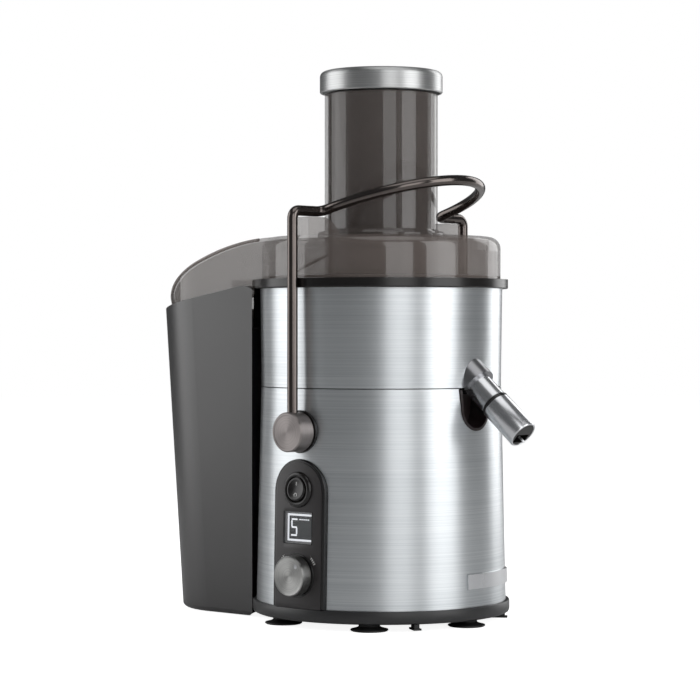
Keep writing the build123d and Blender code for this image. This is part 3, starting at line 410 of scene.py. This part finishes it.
castAluminium = mouldedPlastic("die-cast aluminium", "#b3b4b6", "#a3a4a7", 0.45, 0.8, 0.04,
                               Metallic=1.0)
boardGreen = mouldedPlastic("solder mask on laminate", "#1d5a33", "#17492a", 0.35, 0.5, 0.01)
lensGlass = mouldedPlastic("tinted acrylic window", "#2b2d2f", "#26282a", 0.08, 2.0, 0.002,
                           Alpha=0.25)
pocketAbs = mouldedPlastic("dark brown ABS liner", "#2a2021", "#211a1a", 0.35, 0.6, 0.02)
knobSteel = spunMetal("satin nickel knob", ("#8b8584", "#9c9694"), 0.4, 0.7, (0, 0, 0.15),
                      (1, 0, 0))
spoutSteel = mouldedPlastic("polished stainless tube", "#e4e5e7", "#d6d7da", 0.27, 1.5, 0.002,
                            Metallic=1.0)
dialSteel = spunMetal("turned aluminium dial", ("#8f8f8e", "#a9a9a7"), 0.3, 0.6,
                      (-0.099549, 0, 0.040809), (-0.999753, 0, 0.022217))
# paler and more opaque than the lid's smoked plastic: a painted highlight along the hood bead and
# the thin lid ring
beadHighlightSan = mouldedPlastic("smoked SAN edge bead, painted highlight", "#8b817c", "#7f7671", 0.1, 2.0, 0.0,
                         Alpha=0.75)
screenGrey = mouldedPlastic("liquid crystal cell", "#5d6063", "#54575a", 0.25, 2.0, 0.0)
bevelGrey = mouldedPlastic("silver-grey ABS bevel", "#a9a9aa", "#9c9c9d", 0.3, 0.8, 0.004)
# screen print is plain white, and the backlit segments glow a little
printWhite = mouldedPlastic("white screen print", "#dcdcda", "#d2d2d0", 0.5, 0.6, 0.004)
litWhite = mouldedPlastic("backlit segment", "#ffffff", "#f4f6f8", 0.4, 0.8, 0.0,
                          Emission_Color=hexColor("#f4f8ff"), Emission_Strength=0.75)
print("materials made")

# CAD nodes keep their shape and take a finish
finishes = {
    "base_tray": baseAbs, "suction_feet": footRubber, "cord_gland": footRubber,
    "cord_cleats": baseAbs, "motor_skin": steelSkin, "chassis": baseAbs,
    "spout_recess": pocketAbs, "badge_plate": spoutSteel, "control_panel": borderAbs,
    "display_lens": lensGlass, "display_module": paleNylon, "control_board": boardGreen,
    "speed_encoder": castAluminium, "switch_bezel": blackAbs, "switch_body": blackAbs,
    "pivot_bushes": paleNylon, "pivot_pads": blackAbs, "interlock_switch": blackAbs,
    "bowl_skin": steelSkin, "juice_bowl": blackAbs, "bowl_rim": blackAbs,
    "lid_seal": footRubber, "spout_tube": turnedSteel, "spout_collar": turnedSteel,
    "spout_seal": footRubber, "lid": smokedSan, "feed_chute": smokedChute,
    "stator": turnedSteel, "field_coils": copperWire, "motor_can": turnedSteel,
    "motor_end_lower": castAluminium, "motor_end_upper": castAluminium,
    "bearings": turnedSteel, "brush_holders": castAluminium, "carbon_brushes": footRubber,
    "motor_mounts": footRubber, "motor_screws": turnedSteel, "motor_shaft": turnedSteel,
    "armature": turnedSteel, "commutator": copperWire, "cooling_fan": paleNylon,
    "drive_coupling": blackAbs, "basket_hub": paleNylon, "filter_basket": steelSkin,
    "basket_rim": paleNylon, "cutting_disc": steelSkin, "locking_arm": darkChrome,
    "pivot_knobs": capSteel, "pivot_pins": turnedSteel, "interlock_cam": paleNylon,
    "pusher": pusherAbs, "pusher_cap": capSteel, "pulp_bin": binAbs,
    "speed_dial": capSteel, "dial_shaft": turnedSteel, "switch_rocker": blackAbs,
    "drip_sleeve": turnedSteel, "drip_stop": blackAbs, "interlock_plunger": paleNylon,
}
for name, material in finishes.items():
    nodes[name].data.materials.clear()
    nodes[name].data.materials.append(material)
print("finishes on", len(finishes), "nodes")

# locking arm

# one rod: straight leg, tight bend, short neck, tight bend, then half an ellipse that
# leans forward and up, and the same mirrored; point on the loop = (a cos t, -b sin t, c sin t)
armRod = {"x": 104.5, "foot": 154.0, "top": 318.0, "loopX": 71.0, "reach": 82.0, "rise": 24.0,
          "bend": 6.5, "radius": 4.0}


def armPath(d):
    tilt = math.atan2(d["rise"], d["reach"])
    forward = np.array([0, -math.cos(tilt), math.sin(tilt)])
    length = math.hypot(d["rise"], d["reach"])
    leg = [(-d["x"], 0, z) for z in np.linspace(d["foot"], d["top"] - d["bend"], 12)]
    a = np.radians(np.linspace(180, 90, 9))[1:]
    corner = [(-d["x"] + d["bend"] + d["bend"] * math.cos(t), 0,
               d["top"] - d["bend"] + d["bend"] * math.sin(t)) for t in a]
    neckEnd = -d["loopX"] - d["bend"]
    neck = [(x, 0, d["top"]) for x in np.linspace(-d["x"] + d["bend"], neckEnd, 5)[1:]]
    t = np.radians(np.linspace(0, 90, 9))[1:-1]
    turn = [np.array([neckEnd + d["bend"] * math.sin(s), 0, d["top"]])
            + forward * d["bend"] * (1 - math.cos(s)) for s in t]
    first = math.asin(d["bend"] / length)
    t = np.linspace(first, math.pi / 2, 44)
    loop = (np.array([0, 0, d["top"]]) - d["loopX"] * np.cos(t)[:, None] * np.array([1, 0, 0])
            + length * np.sin(t)[:, None] * forward)
    half = np.concatenate([leg, corner, neck, turn, loop])
    mirrored = half[:-1][::-1] * np.array([-1, 1, 1])
    return np.concatenate([half, mirrored]) * mm


arm = sweepRound("lockingArm", armPath(armRod), armRod["radius"] * mm, 28)
dress(arm, darkChrome, "arm", "arm_metal", "locking_arm")

# pivot knobs: (radius, distance from the middle) outlines turned about the pivot axis
knob = {"z": 150.0, "radius": 15.15, "back": 96.85, "face": 111.3, "edge": 0.9}
for side, label in ((-1, "Left"), (1, "Right")):
    outline = [(0.01, knob["back"]), (knob["radius"] - 0.6, knob["back"]),
               (knob["radius"], knob["back"] + 0.6), (knob["radius"], knob["face"] - 1.0),
               (knob["radius"] - knob["edge"], knob["face"]),
               (knob["radius"] - 2.2, knob["face"]), (knob["radius"] - 2.5, knob["face"] - 0.25),
               (0.01, knob["face"] - 0.15)]
    place = axisFrame((0, 0, knob["z"] * mm), (side, 0, 0), (0, 0, 1))
    piece = lathe("pivotKnob" + label, np.array(outline) * mm, place, 96)
    dress(piece, knobSteel, "arm", "silver", "pivot_knobs")
print("locking arm built")

# chute, pusher and cap

chute = {"outer": 44.6, "inner": 42.2, "low": 228.0, "top": 412.8, "collar": 50.1,
         "lid": 300.0, "collarTop": 304.4}
outline = [(chute["inner"], chute["low"]), (chute["outer"], chute["low"]),
           (chute["outer"], chute["lid"] - 2.2), (chute["outer"] + 0.2, chute["lid"] + 0.02),
           (chute["collar"], chute["lid"] + 0.02), (chute["collar"], chute["collarTop"] - 1.6),
           (chute["collar"] - 1.4, chute["collarTop"]), (chute["outer"] + 1.6, chute["collarTop"]),
           (chute["outer"], chute["collarTop"] + 1.6), (chute["outer"], chute["top"] - 1.0),
           (chute["outer"] - 0.8, chute["top"]), (chute["inner"] + 0.4, chute["top"]),
           (chute["inner"], chute["top"] - 0.6)]
piece = lathe("feedChute", np.array(outline) * mm, upright, 160)
dress(piece, smokedChute, "machine", "smoke", "feed_chute")

pusher = {"outer": 41.2, "wall": 2.4, "low": 229.5, "top": 413.5, "floor": 3.0}
outline = [(0.01, pusher["low"] + 0.4), (pusher["outer"] - 2.5, pusher["low"]),
           (pusher["outer"], pusher["low"] + 2.5), (pusher["outer"], pusher["top"]),
           (pusher["outer"] - pusher["wall"], pusher["top"]),
           (pusher["outer"] - pusher["wall"], pusher["low"] + pusher["floor"] + 2),
           (pusher["outer"] - 6, pusher["low"] + pusher["floor"]),
           (0.01, pusher["low"] + pusher["floor"])]
piece = lathe("pusherTube", np.array(outline) * mm, upright, 128)
dress(piece, pusherAbs, "pusher_body", "dark", "pusher")

cap = {"radius": 48.4, "low": 413.5, "top": 431.5, "dome": 0.9, "shoulder": 4.4}
domeR = np.linspace(0.01, cap["radius"] - cap["shoulder"], 12)
dome = [(r, cap["top"] - cap["dome"] * (r / cap["radius"]) ** 2) for r in domeR]
a = np.radians(np.linspace(84, 0, 9))
edge = [(cap["radius"] - cap["shoulder"] * (1 - math.cos(t)),
         cap["top"] - cap["dome"] - cap["shoulder"] * (1 - math.sin(t))) for t in a]
outline = dome + edge + [(cap["radius"], cap["low"] + 0.8), (cap["radius"] - 0.6, cap["low"]),
                         (cap["radius"] - 2.0, cap["low"]), (cap["radius"] - 2.2, cap["top"] - 7),
                         (0.01, cap["top"] - 7)]
piece = lathe("pusherCap", np.array(outline) * mm, upright, 160)
dress(piece, capSteel, "pusher_body", "silver", "pusher_cap")
print("chute, pusher and cap built")

# base and feet

base = {"radius": 101.2, "low": 6.0, "underside": 8.0, "top": 16.0}
outline = [(0.01, base["underside"]), (96.0, base["underside"]), (96.5, base["low"]),
           (base["radius"] - 2.4, base["low"]), (base["radius"] - 0.6, base["low"] + 0.9),
           (base["radius"], base["low"] + 2.6), (base["radius"], base["top"] - 1.4),
           (base["radius"] - 0.5, base["top"] - 0.3), (base["radius"] - 1.2, base["top"]),
           (97.6, base["top"]), (97.4, base["top"] - 0.8), (0.01, base["top"] - 0.8)]
piece = lathe("baseTray", np.array(outline) * mm, upright, 192)
dress(piece, baseAbs, "machine", "dark", "base_tray")

foot = {"ring": 85.5, "disc": 14.5, "stem": 8.0, "high": 6.6,
        "angles": (0, 56, -56, 112, -112, 180)}
outline = [(0.01, 1.8), (foot["disc"] - 3.7, 0.7), (foot["disc"] - 3.1, 0.0),
           (foot["disc"] - 1.1, 0.0), (foot["disc"], 0.7), (foot["disc"] - 0.3, 1.5),
           (foot["disc"] - 3.0, 2.2), (foot["stem"] + 1.0, 3.0), (foot["stem"] + 0.2, 3.8),
           (foot["stem"], 5.0), (foot["stem"], foot["high"]), (0.01, foot["high"])]
for index, angle in enumerate(foot["angles"]):
    a = math.radians(angle)
    spot = (foot["ring"] * math.sin(a) * mm, -foot["ring"] * math.cos(a) * mm, 0)
    piece = lathe(f"suctionFoot{index + 1}", np.array(outline) * mm,
                  axisFrame(spot, (0, 0, 1), (1, 0, 0)), 48)
    dress(piece, footRubber, "machine", "rubber", "suction_feet")
print("base and feet built")

# juice spout

spout = {"tilt": 40.8, "y": -94.6, "z": 187.1, "tube": 10.8, "bore": 8.6, "spigot": 9.5,
         "tubeEnd": 23.6, "seal": 2.0, "sleeve": 11.5, "end": 59.4}
slope = math.radians(spout["tilt"])
spoutAxis = np.array([0, -math.cos(slope), -math.sin(slope)])
spoutPlace = axisFrame(np.array([0, spout["y"], spout["z"]]) * mm, spoutAxis, (1, 0, 0))
t = spout
outline = [(t["bore"], -9), (t["tube"], -9), (t["tube"], t["tubeEnd"] - 0.5),
           (t["tube"] - 0.5, t["tubeEnd"]), (t["spigot"], t["tubeEnd"]),
           (t["spigot"], t["tubeEnd"] + 11), (t["bore"], t["tubeEnd"] + 11)]
piece = lathe("spoutTube", np.array(outline) * mm, spoutPlace, 96)
dress(piece, spoutSteel, "machine", "steel", "spout_tube")
start = t["tubeEnd"]
outline = [(t["spigot"] + 0.02, start), (t["sleeve"] - 0.5, start), (t["sleeve"], start + 0.5),
           (t["sleeve"], start + t["seal"] - 0.4), (t["sleeve"] - 0.4, start + t["seal"]),
           (t["spigot"] + 0.02, start + t["seal"])]
piece = lathe("spoutSeal", np.array(outline) * mm, spoutPlace, 96)
dress(piece, blackAbs, "machine", "rubber", "spout_seal")
start = t["tubeEnd"] + t["seal"] + 0.3
outline = [(t["spigot"] + 0.06, start), (t["sleeve"] - 0.7, start), (t["sleeve"], start + 0.7),
           (t["sleeve"], t["end"] - 0.8), (t["sleeve"] - 0.5, t["end"]),
           (t["spigot"] + 0.4, t["end"]), (t["spigot"] + 0.06, t["end"] - 0.5)]
piece = lathe("dripSleeve", np.array(outline) * mm, spoutPlace, 96)
dress(piece, spoutSteel, "sleeve", "steel", "drip_sleeve")
print("spout built")

# control panel: everything on it is placed by (across, up) on the panel's own plane
panel = {"origin": (-98.744, 0, 77.101), "out": (-0.999753, 0, 0.022217), "crown": 200.0,
         "half": 23.2, "bottom": -61.0, "archUp": 26.549, "windowHalf": (14.5, 12.5),
         "lift": 0.3, "thick": 0.5, "edge": 0.22, "switchUp": 28.949, "dialUp": -36.301}
panelPlace = axisFrame(np.array(panel["origin"]) * mm, panel["out"], (0, -1, 0))


# frame whose origin is moved across and up on the panel
def panelSpot(up, across=0.0, out=0.0):
    origin, u, v, w = panelPlace
    return origin + (across * u + up * v + out * w) * mm, u, v, w


# plate on the crowned panel: point = origin + a u + b v + (sqrt(R2 - a2) - R + lift) w,
# with b run from the foot to the window, past it, and on up to the arch over each a
def facePlate(d):
    wide, high = d["windowHalf"]
    a = np.concatenate([np.linspace(-d["half"], -wide, 8)[:-1], np.linspace(-wide, wide, 14)[:-1],
                        np.linspace(wide, d["half"], 8)])
    arch = np.sqrt(np.maximum(d["half"] ** 2 - a ** 2, 0))
    level = np.concatenate([np.linspace(d["bottom"], -high, 14)[:-1],
                            np.linspace(-high, high, 10)[:-1],
                            np.linspace(high, d["archUp"], 6)])
    share = np.sin(np.linspace(0, math.pi / 2, 14))[1:]
    b = np.concatenate([np.repeat(level[:, None], len(a), 1),
                        d["archUp"] + share[:, None] * arch[None]])
    aa = np.broadcast_to(a, b.shape)
    lift = np.sqrt(d["crown"] ** 2 - aa ** 2) - d["crown"] + d["lift"]
    origin, u, v, w = panelPlace
    points = origin + (aa[..., None] * u + b[..., None] * v + lift[..., None] * w) * mm
    faces = gridFaces(*b.shape)
    middleA = aa.reshape(-1)[faces].mean(1)
    middleB = b.reshape(-1)[faces].mean(1)
    window = (np.abs(middleA) < wide) & (np.abs(middleB) < high)
    piece = meshPiece("facePlate", points.reshape(-1, 3), faces[~window])
    weld(piece)
    if (piece.data.polygons[0].normal @ Vector(w)) < 0:
        piece.data.flip_normals()
    wall = piece.modifiers.new("wall", "SOLIDIFY")
    wall.thickness = d["thick"] * mm
    wall.offset = -1
    edges = piece.modifiers.new("softEdges", "BEVEL")
    edges.width = d["edge"] * mm
    edges.segments = 2
    edges.limit_method = "ANGLE"
    edges.angle_limit = math.radians(50)
    piece.data.shade_smooth()
    return piece


dress(facePlate(panel), panelAbs, "machine", "dark")


# ring of rounded rectangles: each loop is (half width, half height, out, corner radius)
def rectRing(name, loops, place, steps=5):
    origin, u, v, w = place
    rows = []
    for halfA, halfB, out, corner in loops:
        quarter = np.radians(np.linspace(0, 90, steps))
        loop = [(sa * (halfA - corner) + corner * math.cos(t + turn),
                 sb * (halfB - corner) + corner * math.sin(t + turn))
                for sa, sb, turn in ((1, 1, 0), (-1, 1, math.pi / 2), (-1, -1, math.pi),
                                     (1, -1, 1.5 * math.pi)) for t in quarter]
        loop = np.array(loop)
        rows.append(origin + (loop[:, :1] * u + loop[:, 1:] * v + out * w) * mm)
    points = np.array(rows)
    piece = meshPiece(name, points.reshape(-1, 3),
                      gridFaces(len(loops), points.shape[1], True, True), sharp=35)
    weld(piece)
    return piece


flat = panelSpot(0)
wide, tall = panel["windowHalf"]
piece = rectRing("windowFrame", [(wide, tall, -2.2, 0.9), (wide, tall, 0.15, 0.9),
                                 (wide - 0.4, tall - 0.4, 0.15, 0.6),
                                 (wide - 0.6, tall - 0.6, -1.0, 0.5),
                                 (wide - 0.6, tall - 0.6, -2.2, 0.5)], flat)
dress(piece, borderAbs, "machine", "black")
piece = rectRing("windowBevel", [(wide - 0.65, tall - 0.65, -2.4, 0.5),
                                 (wide - 0.65, tall - 0.65, -1.15, 0.5),
                                 (12.3, 10.6, -2.35, 0.4), (12.3, 10.6, -2.4, 0.4)], flat)
dress(piece, bevelGrey, "machine", "silver")


# rectangle in millimetres: from a0 to a1 across and from b0 to b1 up
def bar(a0, a1, b0, b1):
    return [(a0 * mm, b0 * mm), (a1 * mm, b0 * mm), (a1 * mm, b1 * mm), (a0 * mm, b1 * mm)]


# lit pattern: a band round three sides, a figure 5 of five straight segments, short bars
screen = {"cell": (12.4, 10.7), "back": -2.55, "front": -2.42, "litFront": -2.3,
          "bandLeft": (-12.2, -10.6), "bandRight": 12.0, "bandUp": (8.9, 10.4),
          "digitLeft": -8.6, "digitWide": 6.2, "digitLow": -6.6, "digitHigh": 6.8, "stroke": 1.3,
          "barLeft": -0.4, "barTop": 6.6, "barWide": 1.4, "barHigh": 0.9, "barStep": 2.1,
          "bars": 5}
d = screen
wide, tall = d["cell"]
piece = slab("screenCell", bar(-wide, wide, -tall, tall), flat, d["back"] * mm, d["front"] * mm)
dress(piece, screenGrey, "machine", "display")
outer, inner = d["bandLeft"]
near, far = d["bandUp"]
left, right = d["digitLeft"], d["digitLeft"] + d["digitWide"]
low, high, stroke = d["digitLow"], d["digitHigh"], d["stroke"]
middle = (low + high) / 2
lit = {"bandLeft": bar(outer, inner, -far, far),
       "bandTop": bar(inner, d["bandRight"], near, far),
       "bandBottom": bar(inner, d["bandRight"], -far, -near),
       "digitTop": bar(left + 0.4, right, high - stroke, high),
       "digitUpper": bar(left, left + stroke, middle + 0.3, high - stroke - 0.2),
       "digitMiddle": bar(left + 0.5, right - 0.5, middle - stroke / 2, middle + stroke / 2),
       "digitLower": bar(right - stroke, right, low + stroke + 0.2, middle - 0.3),
       "digitBottom": bar(left, right - 0.4, low, low + stroke)}
for index in range(d["bars"]):
    start = d["barLeft"] + d["barStep"] * index
    lit[f"levelBar{index + 1}"] = bar(start, start + d["barWide"], d["barTop"] - d["barHigh"],
                                      d["barTop"])
for name, outline in lit.items():
    piece = slab(name, outline, flat, d["front"] * mm, d["litFront"] * mm)
    dress(piece, litWhite, "machine", "display")

# power switch: bezel ring, dished rocker about its own tipped axis, and its two marks
switch = {"outer": 13.8, "bore": 9.9, "high": 2.6, "rocker": 9.5, "tip": 7.0, "face": 3.2,
          "dish": 0.9}
place = panelSpot(panel["switchUp"])
outline = [(switch["bore"], -2.5), (switch["outer"] - 0.4, -2.5), (switch["outer"], -0.3),
           (switch["outer"] - 0.1, 0.9), (switch["outer"] - 0.9, 2.1),
           (switch["outer"] - 2.0, switch["high"]), (switch["bore"] + 0.9, switch["high"]),
           (switch["bore"] + 0.25, switch["high"] - 0.3), (switch["bore"], switch["high"] - 1.0)]
piece = lathe("switchBezelRing", np.array(outline) * mm, place, 96)
dress(piece, blackAbs, "machine", "black", "switch_bezel")

origin, u, v, w = place
tip = math.radians(switch["tip"])
rockerPlace = (origin, u, v * math.cos(tip) - w * math.sin(tip),
               w * math.cos(tip) + v * math.sin(tip))
dishR = np.linspace(0.01, 7.6, 9)
outline = [(r, switch["face"] - switch["dish"] * (1 - (r / 7.6) ** 2)) for r in dishR]
outline += [(8.2, switch["face"]), (8.7, switch["face"] - 0.25), (9.0, 2.3), (switch["rocker"], 0),
            (8.6, -4.0), (0.01, -4.0)]
piece = lathe("rockerPad", np.array(outline) * mm, rockerPlace, 96)
dress(piece, blackAbs, "rocker", "black", "switch_rocker")
markHigh = (switch["face"] - 0.55) * mm
piece = slab("rockerMarkOn", bar(-0.3, 0.3, 3.0, 6.0), rockerPlace, markHigh - 0.3 * mm,
             markHigh + 0.12 * mm)
dress(piece, printWhite, "rocker", "silver")
origin, u, v, w = rockerPlace
offPlace = (origin - 4.4 * mm * v, u, v, w)
ring = [(1.1, 2.2), (1.6, 2.2), (1.6, switch["face"] - 0.42), (1.1, switch["face"] - 0.42)]
piece = lathe("rockerMarkOff", np.array(ring) * mm, offPlace, 32)
dress(piece, printWhite, "rocker", "silver")

# speed dial: turned cup with a bright chamfer, a finger dimple, a shadow ring and marks
dial = {"radius": 15.2, "low": 0.6, "face": 10.0, "chamfer": 0.7, "dimpleR": 1.7,
        "dimple": (6.9, 7.6), "ring": 17.2, "markR": 19.6, "markLong": 1.8}
place = panelSpot(panel["dialUp"])
d = dial
faceR = np.linspace(0.01, d["radius"] - d["chamfer"] - 0.3, 10)
outline = [(r, d["face"] - 0.25 + 0.2 * r / d["radius"]) for r in faceR]
outline += [(d["radius"] - d["chamfer"], d["face"]), (d["radius"], d["face"] - d["chamfer"]),
            (d["radius"], d["low"] + 0.3), (d["radius"] - 0.3, d["low"]),
            (d["radius"] - 2, d["low"]), (d["radius"] - 2, d["face"] - 3), (0.01, d["face"] - 3)]
piece = lathe("dialCap", np.array(outline) * mm, place, 128)
dress(piece, dialSteel, "dial", "silver", "speed_dial")
spot = panelSpot(panel["dialUp"] + d["dimple"][1], d["dimple"][0])
bowl = [(0.01, 9.88), (1.0, 9.9), (1.5, 9.97), (d["dimpleR"], 10.0), (d["dimpleR"] - 0.1, 9.7),
        (0.01, 9.6)]
dress(lathe("dialDimple", np.array(bowl) * mm, spot, 32), castAluminium, "dial", "silver")
ring = [(d["radius"] - 3, -0.2), (d["ring"], -0.2), (d["ring"], 0.1), (d["ring"] - 0.3, 0.4),
        (d["radius"] - 3, 0.4)]
dress(lathe("dialShadowRing", np.array(ring) * mm, place, 96), borderAbs, "machine", "black")


# flat arc between two radii and two angles, lifted on the panel
def arcBar(name, inner, outer, start, stop, low, high):
    outline = np.concatenate([arcPoints(outer, start, stop, 12),
                              arcPoints(inner, stop, start, 12)])
    return slab(name, outline * mm, place, low * mm, high * mm)


marks = [(62, 118, 17.9, 18.2)] + [(a, a + 2.2, d["markR"] - d["markLong"] / 2,
                                    d["markR"] + d["markLong"] / 2)
                                   for a in (28, 33, 38, 43, 48, 130, 135, 140, 145, 150)]
for index, (start, stop, inner, outer) in enumerate(marks):
    low = math.sqrt(panel["crown"] ** 2 - outer ** 2) - panel["crown"] + panel["lift"] - 0.4
    piece = arcBar(f"dialMark{index + 1}", inner, outer, start, stop, low, low + 1.0)
    dress(piece, printWhite, "machine", "silver")
print("control panel built")

# lid trim: a raised bead along the hood's upper edge, and a thin ring low on the lid that is a
# painted highlight line; both are in a paler, more opaque smoked plastic, which paints a highlight
# along the bead too. The edge runs back along both sides and round the end, at z = top - R +
# sqrt(R2 - (y - start)2)
hood = {"half": 66.4, "start": 48.0, "end": 138.6, "top": 300.0, "arcR": 236.0,
        "beadStart": 70.0, "bead": 1.3, "ringR": 93.6, "ringZ": 268.2}
d = hood
side = np.linspace(d["beadStart"], d["end"], 24)[:-1]
a = np.linspace(0, np.pi, 64)
edgeX = np.concatenate([np.full(len(side), d["half"]), d["half"] * np.cos(a),
                        np.full(len(side), -d["half"])])
edgeY = np.concatenate([side, d["end"] + d["half"] * np.sin(a), side[::-1]])
edgeZ = (d["top"] - d["arcR"] - d["bead"] * 0.7
         + np.sqrt(d["arcR"] ** 2 - np.maximum(edgeY - d["start"], 0) ** 2))
edge = np.stack([edgeX, edgeY, edgeZ], -1) * mm
dress(sweepRound("hoodBead", edge, d["bead"] * mm, 12), beadHighlightSan, "machine", "smoke")
# thin pale ring low on the lid: a painted highlight line
a = np.linspace(0, 2 * np.pi, 9)[:-1]
oval = np.stack([d["ringR"] + 0.35 * np.cos(a), d["ringZ"] + 0.9 * np.sin(a)], -1)
dress(lathe("lidHighlightRing", oval * mm, upright, 160), beadHighlightSan, "machine", "smoke")
print("lid trim built")
